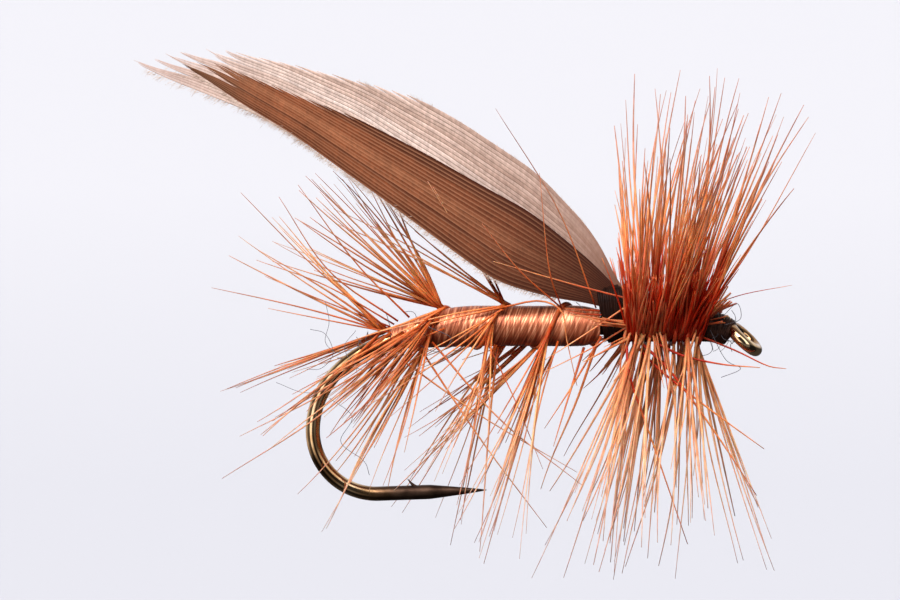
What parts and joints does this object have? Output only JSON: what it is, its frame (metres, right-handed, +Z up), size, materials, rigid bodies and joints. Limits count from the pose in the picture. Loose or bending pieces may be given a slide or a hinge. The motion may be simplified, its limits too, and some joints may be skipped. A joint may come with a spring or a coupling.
{
  "type": "dry fly",
  "caption": "Palmered dry fly on a down-eyed hook: copper floss body, open-wound ginger body hackle, back-swept pair of brown quill slips and a dense red-brown collar hackle.",
  "frame": {"origin": "centre of the hook's eye", "axes": "+X forward out of the head, parallel to the shank; +Z up through the wing; -Y is the fly's right-hand side, the side with the near wing slip"},
  "size_m": [0.0171, 0.0135, 0.0142],
  "materials": {
    "bronzed_wire": "bronzed, polished",
    "tying_thread": "waxed dark brown thread",
    "copper_floss": "satin floss",
    "body_hackle": "glossy ginger barbs",
    "collar_hackle": "glossy red-brown barbs",
    "wing_quill": "matt mottled quill"
  },
  "bodies": {
    "root": {"hook": "bronzed_wire", "shank_thread_base": "tying_thread", "floss_body": "copper_floss", "palmer_hackle_stem": "body_hackle", "wing_slip_near": "wing_quill", "wing_slip_far": "wing_quill", "wing_binding_thread": "tying_thread", "collar_thread_base": "tying_thread", "collar_hackle_stem": "collar_hackle", "hackle_butts": "collar_hackle", "head_thread": "tying_thread", "palmer_barbs_turn_1": "body_hackle", "palmer_barbs_turn_2": "body_hackle", "palmer_barbs_turn_3": "body_hackle", "palmer_barbs_turn_4": "body_hackle", "collar_barbs_turn_1": "collar_hackle", "collar_barbs_turn_2": "collar_hackle", "collar_barbs_turn_3": "collar_hackle", "collar_barbs_turn_4": "collar_hackle", "collar_barbs_turn_5": "collar_hackle", "collar_barbs_turn_6": "collar_hackle"}
  },
  "joints": []
}
